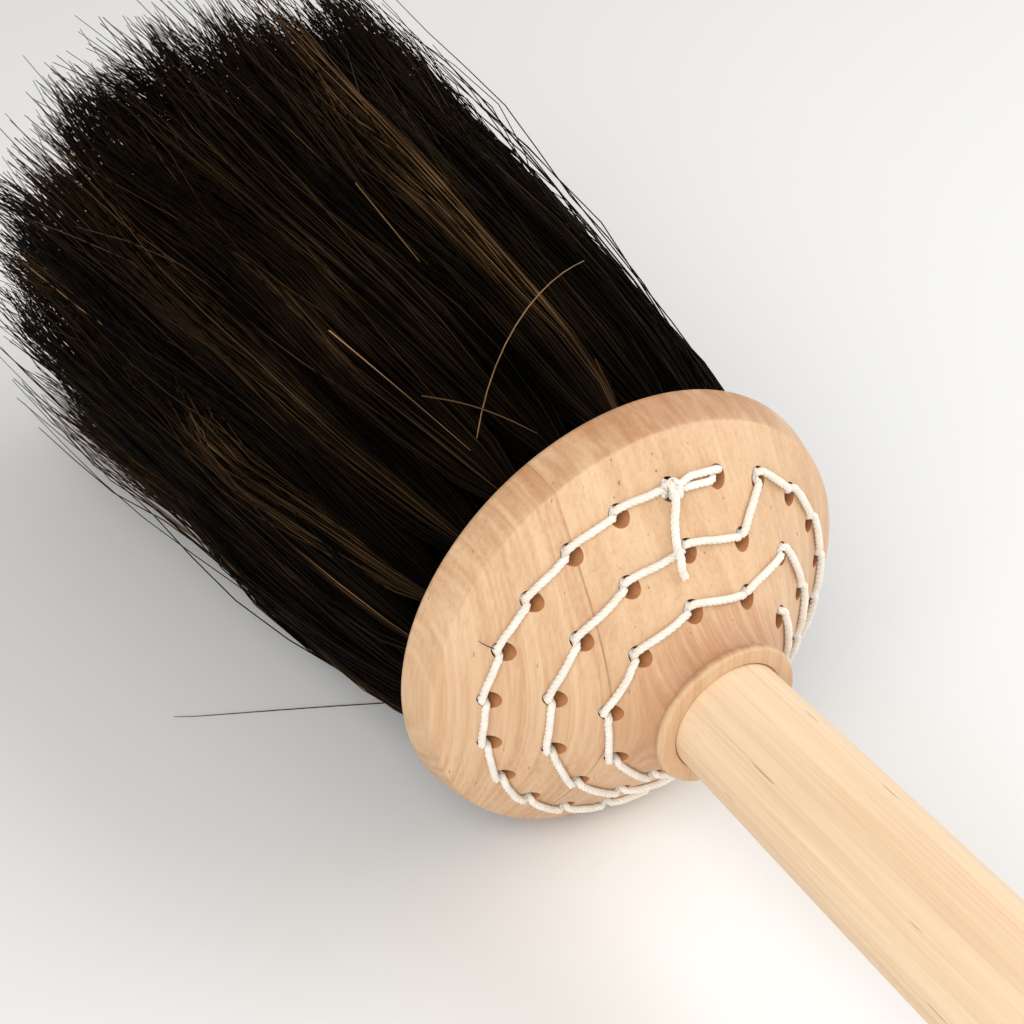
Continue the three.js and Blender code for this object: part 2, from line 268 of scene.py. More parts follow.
class Nodes:
    """Short ways to add and link the nodes of one material."""

    def __init__(self, name):
        self.material = bpy.data.materials.new(name)
        self.material.use_nodes = True
        self.tree = self.material.node_tree
        self.shader = self.tree.nodes["Principled BSDF"]

    def add(self, kind, **settings):
        node = self.tree.nodes.new(kind)
        for key, value in settings.items():
            setattr(node, key, value)
        return node

    def link(self, source, target):
        self.tree.links.new(source, target)

    def vector(self, operation, first, second=None):
        """The result of a vector node whose second input, if any, is the same all over."""
        node = self.add("ShaderNodeVectorMath", operation=operation)
        self.link(first, node.inputs[0])
        if second is not None:
            node.inputs[1].default_value = second
        is_number = operation in ("DOT_PRODUCT", "LENGTH")
        return node.outputs["Value" if is_number else "Vector"]

    def scaled(self, vector, scale):
        return self.vector("MULTIPLY", vector, scale)

    def noise(self, vector, detail=2.0, roughness=0.5, distortion=0.0):
        node = self.add("ShaderNodeTexNoise")
        self.link(vector, node.inputs["Vector"])
        node.inputs["Scale"].default_value = 1.0
        node.inputs["Detail"].default_value = detail
        node.inputs["Roughness"].default_value = roughness
        node.inputs["Distortion"].default_value = distortion
        return node.outputs["Fac"]

    def math(self, operation, first, second=None, third=None):
        node = self.add("ShaderNodeMath", operation=operation)
        for socket, value in zip(node.inputs, (first, second, third)):
            if value is None:
                continue
            if isinstance(value, (int, float)):
                socket.default_value = value
            else:
                self.link(value, socket)
        return node.outputs[0]

    def product(self, first, *others):
        for other in others:
            first = self.math("MULTIPLY", first, other)
        return first

    def span(self, value, low, high, to_low=0.0, to_high=1.0, smooth=False):
        node = self.add("ShaderNodeMapRange")
        node.interpolation_type = "SMOOTHSTEP" if smooth else "LINEAR"
        self.link(value, node.inputs["Value"])
        for name, number in (("From Min", low), ("From Max", high),
                             ("To Min", to_low), ("To Max", to_high)):
            node.inputs[name].default_value = number
        return node.outputs["Result"]

    def mixed(self, share, first, second, blend="MIX"):
        node = self.add("ShaderNodeMix", data_type="RGBA", blend_type=blend)
        for socket, value in ((node.inputs[0], share), (node.inputs[6], first),
                              (node.inputs[7], second)):
            if isinstance(value, (int, float, tuple)):
                socket.default_value = value
            else:
                self.link(value, socket)
        return node.outputs[2]

    def bump(self, height, strength, distance):
        node = self.add("ShaderNodeBump")
        node.inputs["Strength"].default_value = strength
        node.inputs["Distance"].default_value = distance
        self.link(height, node.inputs["Height"])
        self.link(node.outputs["Normal"], self.shader.inputs["Normal"])

    def finish(self, colour, fallback, roughness):
        self.link(colour, self.shader.inputs["Base Color"])
        self.shader.inputs["Base Color"].default_value = fallback
        self.link(roughness, self.shader.inputs["Roughness"])
        return self.material


def grain_coordinates(nodes, coordinates, fibre, growth):
    """Places across the growth layers, along them and along the fibres, and the fibres' direction."""
    along = Vector(fibre).normalized()
    across = Vector(growth)
    across = (across - along * across.dot(along)).normalized()
    turn = nodes.add("ShaderNodeMapping")
    to_grain = Matrix((across, along.cross(across), along)) @ BRUSH.to_3x3().transposed()
    turn.inputs["Rotation"].default_value = to_grain.to_euler("XYZ")
    turn.inputs["Location"].default_value = -(to_grain @ BRUSH.translation)
    nodes.link(coordinates.outputs["Object"], turn.inputs["Vector"])
    return turn.outputs["Vector"], BRUSH.to_3x3() @ along


def seam_line(nodes, grain, across):
    """Where the head's two boards are glued: a thin line, fainter here and there."""
    seam = HEAD_SEAM * MM
    broken = nodes.noise(nodes.scaled(grain, (40, 40, 90)), 1.0, 0.5)
    gap = nodes.math("ABSOLUTE", nodes.math("SUBTRACT", across, seam))
    line = nodes.span(gap, 0.08 * MM, 0.24 * MM, 1.0, 0.0)
    return nodes.product(line, nodes.span(broken, 0.35, 0.6, 0.28, 0.62))


def cove_shade_and_streaks(nodes, from_cove, layers):
    """Painted shade where the head's hollow runs up to the collar, over dark end-grain streaks, but
    not on the collar.
    """
    distance = nodes.vector("LENGTH", from_cove)
    hollow = nodes.span(distance, COVE_DARK_WITHIN * MM, COVE_LIGHT_BEYOND * MM, 1.0, 0.0,
                        smooth=True)
    ahead = nodes.vector("DOT_PRODUCT", from_cove, AXIS)
    off_collar = nodes.span(ahead, -COLLAR_BEHIND * MM, (1 - COLLAR_BEHIND) * MM, 0.15, 1.0)
    return nodes.product(hollow, off_collar, nodes.span(layers, 0.36, 0.64, 0.4, 1.0), 0.72)


def hole_wall_shade(nodes, from_cove, normal):
    """Painted shade on the walls of the twine holes: faces that run along the axis, between collar
    and rim.
    """
    upright = nodes.math("ABSOLUTE", nodes.vector("DOT_PRODUCT", normal, AXIS))
    from_axis = nodes.vector("LENGTH", nodes.vector("CROSS_PRODUCT", from_cove, AXIS))
    return nodes.product(
        nodes.span(upright, 0.25, 0.45, 1.0, 0.0),
        nodes.span(from_axis, HOLES_FROM * MM, (HOLES_FROM + 0.5) * MM),
        nodes.span(from_axis, (HOLES_TO - 0.5) * MM, HOLES_TO * MM, 1.0, 0.0),
        0.8,
    )


def birch(name, fibre, growth, tones, streak_length, is_head=False):
    """Birch in three dimensions: fibres along one direction, faint growth layers across another.

    The head is of two boards. Beyond their seam it has layered streaks. Its cove has painted shade
    over dark streaks, and the walls of its holes have painted shade.
    """
    light, deep, streak, end_grain = (srgb(*tone) for tone in tones)
    nodes = Nodes(name)
    coordinates = nodes.add("ShaderNodeTexCoord")
    normal = coordinates.outputs["Normal"]
    grain, fibres = grain_coordinates(nodes, coordinates, fibre, growth)

    bands = nodes.noise(nodes.scaled(grain, (330, 75, streak_length)), 3.0, 0.6, 0.35)
    patches = nodes.noise(nodes.scaled(grain, (95, 35, streak_length)), 2.0, 0.5, 0.5)
    layers = nodes.noise(nodes.scaled(grain, (800, 40, streak_length * 0.7)), 2.0, 0.6, 0.1)
    threads = nodes.noise(nodes.scaled(grain, (1500, 1300, streak_length * 4)), 2.0, 0.6)
    pores = nodes.noise(nodes.scaled(grain, (3600, 3600, 260)), 2.0, 0.6)
    fleck = nodes.noise(nodes.scaled(grain, (1500, 1500, 80)), 0.0, 0.5)

    split = nodes.add("ShaderNodeSeparateXYZ")
    nodes.link(grain, split.inputs[0])
    across = split.outputs[0]
    colour = nodes.mixed(nodes.span(bands, 0.3, 0.68), deep, light)
    streaked = nodes.span(patches, 0.44, 0.7, 0.0, 0.42)
    if is_head:
        beyond = nodes.span(across, HEAD_SEAM * MM, (HEAD_SEAM + 0.05) * MM)
        streaked = nodes.mixed(beyond, streaked, nodes.span(layers, 0.42, 0.66, 0.08, 0.62))
    colour = nodes.mixed(streaked, colour, streak)
    colour = nodes.mixed(nodes.span(threads, 0.34, 0.5, 0.3, 0.0), colour, light)
    colour = nodes.mixed(nodes.span(threads, 0.52, 0.74, 0.0, 0.34), colour, streak)
    if is_head:
        colour = nodes.mixed(seam_line(nodes, grain, across), colour, srgb(*SEAM_COLOUR))
        # Painted shade in the cove, over dark streaks
        cove_middle = BRUSH @ Vector((COVE_MIDDLE * MM, 0, 0))
        from_cove = nodes.vector("SUBTRACT", coordinates.outputs["Object"], cove_middle)
        colour = nodes.mixed(cove_shade_and_streaks(nodes, from_cove, layers), colour, srgb(*COVE_SHADE_AND_STREAK_COLOUR))
        # Painted shade on the walls of the holes
        colour = nodes.mixed(hole_wall_shade(nodes, from_cove, normal), colour, srgb(*HOLE_WALL_SHADE_COLOUR))

    facing = nodes.math("ABSOLUTE", nodes.vector("DOT_PRODUCT", normal, fibres))
    cut_across = nodes.span(facing, 0.62, 1.0)
    cut_across = nodes.product(cut_across, nodes.span(bands, 0.34, 0.66, 0.95, 0.4))
    colour = nodes.mixed(cut_across, colour, end_grain)
    colour = nodes.mixed(nodes.span(pores, 0.5, 0.8, 0.0, 0.08), colour, end_grain)
    colour = nodes.mixed(nodes.span(fleck, 0.82, 0.86, 0.0, 0.6), colour, srgb(*FLECK_COLOUR))

    height = nodes.math("MULTIPLY_ADD", fleck, -0.3, pores)
    nodes.bump(height, 0.12, 0.05 * MM)
    nodes.shader.inputs["Specular IOR Level"].default_value = 0.5
    return nodes.finish(colour, light, nodes.span(pores, 0.3, 0.7, 0.44, 0.58))


def twine_material():
    nodes = Nodes("laid_white_twine")
    place = nodes.add("ShaderNodeTexCoord").outputs["Object"]
    fibres = nodes.noise(nodes.scaled(place, (5200, 5200, 5200)), 3.0, 0.65, 1.2)
    patches = nodes.noise(nodes.scaled(place, (260, 260, 260)), 2.0, 0.5)
    colour = nodes.mixed(nodes.span(patches, 0.35, 0.7), srgb(*TWINE_WHITE), srgb(*TWINE_CREAM))
    # Painted shade between the fibres, where the fine fibre noise is high
    between = nodes.span(fibres, 0.45, 0.8, 0.0, 0.35)
    colour = nodes.mixed(between, colour, srgb(*TWINE_FIBRE_SHADE))
    nodes.bump(fibres, 0.5, 0.12 * MM)
    nodes.shader.inputs["Sheen Weight"].default_value = 0.25
    nodes.shader.inputs["Specular IOR Level"].default_value = 0.25
    return nodes.finish(colour, srgb(*TWINE_MEAN), nodes.span(fibres, 0.3, 0.7, 0.78, 0.95))


def hair_material():
    nodes = Nodes("horsehair")
    place = nodes.add("ShaderNodeTexCoord").outputs["Object"]
    tone = nodes.add("ShaderNodeAttribute", attribute_name="tone").outputs["Fac"]
    ramp = nodes.add("ShaderNodeValToRGB")
    first, *between, last = HAIR_COLOURS
    ramp.color_ramp.elements[0].color = srgb(*first[1])
    ramp.color_ramp.elements[1].color = srgb(*last[1])
    for position, colour in between:
        ramp.color_ramp.elements.new(position).color = srgb(*colour)
    nodes.link(tone, ramp.inputs["Fac"])
    scales = nodes.noise(nodes.scaled(place, (900, 2600, 2600)), 2.0, 0.6)
    patches = nodes.noise(nodes.scaled(place, (26, 90, 90)), 2.0, 0.5)
    shade = nodes.span(patches, 0.32, 0.68, 0.42, 1.5)
    reach = nodes.add("ShaderNodeSeparateXYZ")
    nodes.link(place, reach.inputs[0])
    # Painted shade: the hair darker towards the wood, where its bundles crowd together
    widest_ring = BRUSH.translation.x
    shade_near_wood = nodes.span(reach.outputs[0], widest_ring + 5 * MM, widest_ring + 75 * MM, 0.35, 1.0)
    shade = nodes.product(shade, shade_near_wood)
    grey = nodes.add("ShaderNodeCombineColor")
    for socket in grey.inputs:
        nodes.link(shade, socket)
    colour = nodes.mixed(1.0, ramp.outputs["Color"], grey.outputs["Color"], "MULTIPLY")
    nodes.bump(scales, 0.25, 0.05 * MM)
    nodes.shader.inputs["Specular IOR Level"].default_value = 0.03
    return nodes.finish(colour, srgb(*HAIR_MEAN), nodes.span(scales, 0.3, 0.7, 0.42, 0.58))


head_birch = birch("birch_head", HEAD_FIBRE, HEAD_GROWTH, HEAD_TONES, HEAD_STREAKS, is_head=True)
handle_birch = birch("birch_handle", HANDLE_FIBRE, HANDLE_GROWTH, HANDLE_TONES, HANDLE_STREAKS)
white_twine = twine_material()
dark_hair = hair_material()


# Meshes and pieces

def quad_mesh(name, points, quads):
    mesh = bpy.data.meshes.new(name)
    mesh.vertices.add(len(points))
    mesh.vertices.foreach_set("co", np.asarray(points, np.float32).ravel())
    mesh.loops.add(quads.size)
    mesh.loops.foreach_set("vertex_index", quads.astype(np.int32).ravel())
    mesh.polygons.add(len(quads))
    mesh.polygons.foreach_set("loop_start", np.arange(0, quads.size, 4, dtype=np.int32))
    mesh.polygons.foreach_set("use_smooth", np.ones(len(quads), bool))
    mesh.update(calc_edges=True)
    return mesh


def tube_quads(tubes, rows, sides):
    """Quads of several open tubes whose points are stored tube by tube, row by row."""
    tube, row, side = np.meshgrid(
        np.arange(tubes), np.arange(rows - 1), np.arange(sides), indexing="ij"
    )
    base = tube * rows * sides + row * sides
    beside = (side + 1) % sides
    quads = np.stack([base + side, base + beside, base + sides + beside, base + sides + side], -1)
    return quads.reshape(-1, 4), tube.ravel(), row.ravel(), side.ravel()


def column_map(mesh, columns, column, row, side, rows, sides):
    """A flat map for surface maps: every tube is one upright column."""
    layer = mesh.uv_layers.new(name="OFBake")
    left = (column + 0.08 + 0.84 * side / sides) / columns
    right = (column + 0.08 + 0.84 * (side + 1) / sides) / columns
    low = 0.005 + 0.99 * row / (rows - 1)
    high = 0.005 + 0.99 * (row + 1) / (rows - 1)
    flat = np.stack([left, low, right, low, right, high, left, high], -1)
    layer.data.foreach_set("uv", flat.astype(np.float32).ravel())


def add_piece(name, mesh, material, slot, *nodes):
    mesh.materials.clear()
    mesh.materials.append(material)
    mesh.transform(BRUSH)
    piece = bpy.data.objects.new(name, mesh)
    bpy.context.scene.collection.objects.link(piece)
    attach(piece, "root")
    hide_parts(*nodes)
    return piece


def arc(radius, along, size, from_degrees, to_degrees, steps):
    turns = np.radians(np.linspace(from_degrees, to_degrees, steps + 1))
    return [(radius + size * math.cos(t), along + size * math.sin(t)) for t in turns]


def lathe(name, outline, sides):
    """A closed turned body from (radius, along) pairs in millimetres, from axis to axis."""
    turns = np.arange(sides) * 2 * math.pi / sides
    points = [(outline[0][1] * MM, 0, 0)]
    for radius, along in outline[1:-1]:
        ring = zip(np.cos(turns) * radius * MM, np.sin(turns) * radius * MM)
        points.extend((along * MM, y, z) for y, z in ring)
    points.append((outline[-1][1] * MM, 0, 0))
    faces = []
    rings = len(outline) - 2
    last = len(points) - 1
    for s in range(sides):
        beside = (s + 1) % sides
        faces.append((0, 1 + beside, 1 + s))
        start = 1 + (rings - 1) * sides
        faces.append((last, start + s, start + beside))
        for r in range(rings - 1):
            here = 1 + r * sides
            faces.append((here + s, here + beside, here + sides + beside, here + sides + s))
    mesh = bpy.data.meshes.new(name)
    mesh.from_pydata(points, [], faces)
    return mesh


# Where everything sits on the head

def outward(angle):
    return np.array((0.0, math.cos(angle), math.sin(angle)))


def back_normal(angle):
    normal = outward(angle) * math.sin(CONE_ANGLE)
    normal[0] = -math.cos(CONE_ANGLE)
    return normal


def back_along(radius):
    return -BAND_LENGTH - (CREASE_RADIUS - radius) * CONE_SLOPE


def above(angle, radius, lift):
    """A point over the cone-shaped back, in millimetres."""
    point = outward(angle) * radius
    point[0] = back_along(radius)
    return point + back_normal(angle) * lift


class Hole:
    """One hole of the head with its bundle of hair, found from the bundle's CAD solid."""

    def __init__(self, ring, number):
        self.ring = ring
        self.number = number
        self.node = f"tuft_{ring}_{number:02d}"
        to_brush = BRUSH.inverted()
        shell = [to_brush @ v.co for v in frame["nodes"][self.node].data.vertices]
        root = min(p.x for p in shell)
        start = [p for p in shell if p.x < root + 0.5 * MM]
        y = sum(p.y for p in start) / len(start) / MM
        z = sum(p.z for p in start) / len(start) / MM
        self.radius = math.hypot(y, z)
        self.angle = math.atan2(z, y)
        self.bore_start = back_along(self.radius) + TWINE_HOLE_DEPTH
        self.mouth = above(self.angle, self.radius, 0)


def find_holes():
    found = []
    for ring in RINGS:
        count = sum(1 for name in frame["nodes"] if name.startswith(f"tuft_{ring}_"))
        found.extend(Hole(ring, number + 1) for number in range(count))
    return found


holes = find_holes()
ring_sizes = {ring: sum(1 for hole in holes if hole.ring == ring) for ring in RINGS}


# Head and handle

def head_outline():
    """From the socket's floor round the collar, cove, cone and band to the middle of the front."""
    cone_degrees = math.degrees(CONE_ANGLE)
    cove_start = NECK_RADIUS + COVE_RADIUS * (1 - math.sin(CONE_ANGLE))
    cove_radius = NECK_RADIUS + COVE_RADIUS
    cove_along = back_along(cove_start) - COVE_RADIUS * math.cos(CONE_ANGLE)
    edge_along = COLLAR_END + COLLAR_EDGE
    outline = [(0, COLLAR_END + SOCKET_DEPTH), (SOCKET_RADIUS, COLLAR_END + SOCKET_DEPTH)]
    outline.append((SOCKET_RADIUS, COLLAR_END + SOCKET_CHAMFER_DEPTH))
    outline.append((SOCKET_RADIUS + SOCKET_CHAMFER, COLLAR_END))
    outline.extend(arc(COLLAR_RADIUS - COLLAR_EDGE, edge_along, COLLAR_EDGE, -82, 62, 12))
    outline.extend(arc(cove_radius, cove_along, COVE_RADIUS, 168, 90 + cone_degrees, 16))
    cone_end = CREASE_RADIUS - 0.4
    for share in np.linspace(0.04, 1, 16):
        radius = cove_start + (cone_end - cove_start) * share
        outline.append((radius, back_along(radius)))
    outline.append((CREASE_RADIUS - 0.1, -BAND_LENGTH - 0.02))
    outline.append((CREASE_RADIUS + 0.02, -BAND_LENGTH + 0.2))
    for share in np.linspace(0.12, 0.9, 6):
        bulge = BAND_BULGE * math.sin(math.pi * share)
        radius = CREASE_RADIUS + (HEAD_RADIUS - CREASE_RADIUS) * share + bulge
        outline.append((min(radius, HEAD_RADIUS), -BAND_LENGTH + (BAND_LENGTH - 1.0) * share))
    outline.extend(arc(HEAD_RADIUS - RIM_EDGE, -0.2, RIM_EDGE, -20, 84, 8))
    outline.append((HEAD_RADIUS / 2, FRONT_DOME - 0.7))
    outline.append((0, FRONT_DOME))
    return outline


def hole_cutters():
    """All the bores as one body: narrow at the back, wider for the hair at the front."""
    sides = BORE_SIDES
    turns = np.arange(sides) * 2 * math.pi / sides
    points = []
    faces = []
    for hole in holes:
        centre = outward(hole.angle) * hole.radius
        rows = [
            (TWINE_HOLE_RADIUS, back_along(hole.radius) - 4),
            (TWINE_HOLE_RADIUS, hole.bore_start),
            (BORE_RADIUS, hole.bore_start),
            (BORE_RADIUS, FRONT_DOME + 2),
        ]
        base = len(points)
        for radius, along in rows:
            for turn in turns:
                points.append((along * MM, (centre[1] + radius * math.cos(turn)) * MM,
                               (centre[2] + radius * math.sin(turn)) * MM))
        for r in range(len(rows) - 1):
            for s in range(sides):
                here = base + r * sides
                beside = (s + 1) % sides
                faces.append((here + s, here + beside, here + sides + beside, here + sides + s))
        faces.append(tuple(base + s for s in reversed(range(sides))))
        faces.append(tuple(base + (len(rows) - 1) * sides + s for s in range(sides)))
    mesh = bpy.data.meshes.new("bores")
    mesh.from_pydata(points, [], faces)
    return mesh


def drilled(blank, cutter):
    """The mesh of the blank with the cutter's bodies taken out of it."""
    scene = bpy.context.scene
    body = bpy.data.objects.new("blank", blank)
    tool = bpy.data.objects.new("cutter", cutter)
    scene.collection.objects.link(body)
    scene.collection.objects.link(tool)
    cut = body.modifiers.new("cut", "BOOLEAN")
    cut.operation = "DIFFERENCE"
    cut.solver = "EXACT"
    cut.object = tool
    bpy.context.view_layer.update()
    dependencies = bpy.context.evaluated_depsgraph_get()
    mesh = bpy.data.meshes.new_from_object(body.evaluated_get(dependencies))
    bpy.data.objects.remove(body)
    bpy.data.objects.remove(tool)
    return mesh


def shade(mesh, degrees):
    mesh.polygons.foreach_set("use_smooth", np.ones(len(mesh.polygons), bool))
    mesh.set_sharp_from_angle(angle=math.radians(degrees))
    mesh.update()


def add_head():
    mesh = drilled(lathe("head_blank", head_outline(), HEAD_SIDES), hole_cutters())
    shade(mesh, 32)
    mesh.name = "birch_head"
    add_piece("birch_head", mesh, head_birch, "birch_head", "head_block")


def add_handle():
    inner = COLLAR_END + SOCKET_DEPTH - 0.3
    end = COLLAR_END - HANDLE_LENGTH
    rounded = end + HANDLE_ROUNDING
    outline = [(0, end)]
    outline.extend((radius, end) for radius in (2.5, 5.0))
    outline.extend(arc(HANDLE_TAIL - HANDLE_ROUNDING, rounded, HANDLE_ROUNDING, -90, 0, 12))
    for share in np.linspace(0.02, 1, HANDLE_STEPS):
        along = rounded + (COLLAR_END - 2 - rounded) * share
        straight = HANDLE_TAIL + (HANDLE_RADIUS - HANDLE_TAIL) * share
        belly = (HANDLE_BELLY - HANDLE_RADIUS) * math.sin(math.pi * share)
        outline.append((straight + belly, along))
    outline.append((HANDLE_RADIUS, COLLAR_END - 0.4))
    outline.append((HANDLE_RADIUS, inner - 1))
    outline.append((HANDLE_RADIUS - 1, inner))
    outline.append((0, inner))
    mesh = lathe("birch_handle", outline, HANDLE_SIDES)
    shade(mesh, 40)
    add_piece("birch_handle", mesh, handle_birch, "birch_handle", "handle")


# Twine

def smooth_path(points, step):
    """Even points along a centripetal Catmull-Rom curve through the given ones."""
    p = np.asarray(points, float)
    p = np.vstack([2 * p[0] - p[1], p, 2 * p[-1] - p[-2]])
    found = []
    for i in range(1, len(p) - 2):
        a, b, c, d = p[i - 1:i + 3]
        t1 = max(np.linalg.norm(b - a), 1e-6) ** 0.5
        t2 = t1 + max(np.linalg.norm(c - b), 1e-6) ** 0.5
        t3 = t2 + max(np.linalg.norm(d - c), 1e-6) ** 0.5
        t = np.linspace(t1, t2, 12, endpoint=False)[:, None]
        a1 = (t1 - t) / t1 * a + t / t1 * b
        a2 = (t2 - t) / (t2 - t1) * b + (t - t1) / (t2 - t1) * c
        a3 = (t3 - t) / (t3 - t2) * c + (t - t2) / (t3 - t2) * d
        b1 = (t2 - t) / t2 * a1 + t / t2 * a2
        b2 = (t3 - t) / (t3 - t1) * a2 + (t - t1) / (t3 - t1) * a3
        found.append((t2 - t) / (t2 - t1) * b1 + (t - t1) / (t2 - t1) * b2)
    curve = np.vstack([*found, p[-2][None]])
    travelled = np.concatenate([[0], np.cumsum(np.linalg.norm(np.diff(curve, axis=0), axis=1))])
    even = np.linspace(0, travelled[-1], max(2, int(travelled[-1] / step) + 1))
    return np.stack([np.interp(even, travelled, curve[:, k]) for k in range(3)], -1), even


def frames_along(path):
    """Two unit vectors square to the path at each point, carried along without twisting."""
    tangents = np.gradient(path, axis=0)
    tangents /= np.linalg.norm(tangents, axis=1)[:, None]
    start = np.cross(tangents[0], (0.31, 0.77, 0.55))
    side = start / np.linalg.norm(start)
    sides = []
    for tangent in tangents:
        side = side - tangent * side.dot(tangent)
        side /= np.linalg.norm(side)
        sides.append(side)
    sides = np.array(sides)
    return tangents, sides, np.cross(tangents, sides)


def round_tube(path, radii, sides):
    """Rings of points, rows x sides x 3, round a path."""
    _, first, second = frames_along(path)
    turns = np.arange(sides) * 2 * math.pi / sides
    ring = (np.cos(turns)[None, :, None] * first[:, None]
            + np.sin(turns)[None, :, None] * second[:, None])
    return path[:, None] + ring * np.asarray(radii)[:, None, None]


def laid_cord(points, rng, radius=TWINE_RADIUS):
    """Tubes of the plies twisted round one path; each is rows x sides x 3, in millimetres."""
    path, travelled = smooth_path(points, TWINE_STEP)
    _, first, second = frames_along(path)
    size = radius / TWINE_RADIUS
    marks = np.arange(0, travelled[-1] + 9, 3.1)
    wobble = np.interp(travelled, marks, rng.normal(0, 0.16, len(marks)))
    spread = (TWINE_RADIUS - PLY_RADIUS) * size
    tubes = []
    for ply in range(PLIES):
        turn = 2 * math.pi * (travelled / TWIST_PITCH + ply / PLIES) + wobble
        sideways = np.cos(turn)[:, None] * first + np.sin(turn)[:, None] * second
        thick = PLY_RADIUS * size * (1 + 0.05 * np.sin(travelled * 2.3 + ply * 2))
        tubes.append(round_tube(path + sideways * spread, thick, PLY_SIDES))
    return tubes


def tubes_mesh(name, tubes, columns_per_tube):
    """One mesh of several tubes, each laid out on the flat map in so many columns."""
    points = []
    quads = []
    flat = []
    base = 0
    columns = len(tubes) * columns_per_tube
    for index, tube in enumerate(tubes):
        rows, sides = tube.shape[:2]
        found, _, row, side = tube_quads(1, rows, sides)
        per_column = math.ceil((rows - 1) / columns_per_tube)
        points.append(tube.reshape(-1, 3))
        quads.append(found + base)
        flat.append((index * columns_per_tube + row // per_column, row % per_column, side,
                     np.full(len(row), per_column + 1), np.full(len(row), sides)))
        base += rows * sides
    mesh = quad_mesh(name, np.vstack(points) * MM, np.vstack(quads))
    column, row, side, rows, sides = (np.concatenate(part) for part in zip(*flat))
    column_map(mesh, columns, column, row, side, rows, sides)
    return mesh


def heading(start, end):
    step = end - start
    return step / np.linalg.norm(step)


def over_wood(start, end, shares, lift):
    """Points of a straight stitch that lies on the cone-shaped back."""
    points = []
    for share in shares:
        flat = start + (end - start) * share
        points.append(above(math.atan2(flat[2], flat[1]), math.hypot(flat[1], flat[2]), lift))
    return points


INTO_WOOD = np.array((1.0, 0.0, 0.0))


def hole_loop(hole, arriving, leaving):
    """Down the rim side of a hole, round the fold of the hair and up again at its far side."""
    normal = back_normal(hole.angle)
    rimwards = np.cross(normal, np.cross(outward(hole.angle), normal))
    rimwards /= np.linalg.norm(rimwards)
    middle = hole.mouth
    return [
        middle - arriving * ARRIVES_BEFORE + rimwards * ARRIVES_RIMWARDS + normal * STRAND_LIFT,
        middle - arriving * 0.1 + rimwards * ARRIVES_RIMWARDS + normal * 0.72,
        middle + arriving * 0.35 + rimwards * 1.2 - normal * 0.05,
        middle + arriving * 0.35 + rimwards * 0.9 + INTO_WOOD * 2.2,
        middle + INTO_WOOD * 4.9,
        middle + leaving * 0.75 + rimwards * 0.55 + INTO_WOOD * 2.2,
        middle + leaving * 1.1 + rimwards * 0.5 + INTO_WOOD * 0.4,
        middle + leaving * 1.7 + rimwards * 0.55 + normal * 0.62,
        middle + leaving * LEAVES_AFTER + rimwards * LEAVES_RIMWARDS + normal * STRAND_LIFT,
    ]


def first_strands():
    """From the knot to the first hole, through it and back to the second hole."""
    first, second, third = holes[:3]
    to_first = heading(second.mouth, first.mouth)
    rim_side = outward(first.angle)
    normal = back_normal(second.angle)
    points = [
        second.mouth + to_first * 0.4 + normal * 1.8 + rim_side * 0.5,
        second.mouth + to_first * 1.9 + normal * 1.5 + rim_side * 0.9,
    ]
    points.extend(over_wood(second.mouth + rim_side * 1.5, first.mouth + rim_side * 1.35,
                            (0.4, 0.6, 0.82), STRAND_LIFT))
    points.extend(hole_loop(first, to_first, -to_first)[1:-2])
    points.append(first.mouth - to_first * 1.6 - rim_side * 0.25 + normal * 0.7)
    points.extend(over_wood(first.mouth - rim_side * 0.3, second.mouth - rim_side * 0.1,
                            (0.22, 0.4, 0.6, 0.78), STRAND_LIFT))
    points.extend(hole_loop(second, -to_first, heading(second.mouth, third.mouth))[2:])
    return points


def stitching_route(rng):
    points = first_strands()
    for here, there, beyond in zip(holes[1:], holes[2:], [*holes[3:], None]):
        arriving = heading(here.mouth, there.mouth)
        start = here.mouth + arriving * LEAVES_AFTER + outward(here.angle) * LEAVES_RIMWARDS
        end = there.mouth - arriving * ARRIVES_BEFORE + outward(there.angle) * ARRIVES_RIMWARDS
        slack = outward((here.angle + there.angle) / 2) * rng.uniform(-0.12, 0.12)
        points.extend(over_wood(start + slack, end + slack, (0.25, 0.5, 0.78), STRAND_LIFT))
        if beyond is None:
            points.extend(hole_loop(there, arriving, arriving)[:5])
        else:
            points.extend(hole_loop(there, arriving, heading(there.mouth, beyond.mouth)))
    return points


def knot_axes():
    """Middle of the knot and the directions along its stitch, across it and off the wood."""
    hole = holes[1]
    along = heading(hole.mouth, holes[0].mouth)
    normal = back_normal(hole.angle)
    across = np.cross(normal, along)
    across /= np.linalg.norm(across)
    return hole.mouth - along * 0.2 + normal * 1.3, along, across, normal


def knot_route():
    """The start of the twine wrapped round the first two strands."""
    middle, along, across, normal = knot_axes()
    points = []
    for turn in np.linspace(-0.35, 1.65, 30):
        angle = 2 * math.pi * turn
        reach = 1.5 + 0.14 * math.sin(3 * angle)
        lift = 1.15 + 0.1 * math.cos(2 * angle)
        points.append(middle + along * (1.15 - 1.5 * turn)
                      + across * reach * math.sin(angle) + normal * lift * math.cos(angle))
    return points


def frayed_loop():
    """One loose ply that stands up as a small loop at the rim side of the knot."""
    middle, along, across, normal = knot_axes()
    rimwards = across if across.dot(outward(holes[1].angle)) > 0 else -across
    points = []
    for turn in np.linspace(-0.1, 0.6, 12):
        angle = 2 * math.pi * turn
        points.append(middle + along * 1.5 * math.cos(angle)
                      + rimwards * (0.9 + 1.3 * math.sin(angle))
                      + normal * (0.5 + 0.5 * math.sin(angle)))
    return points


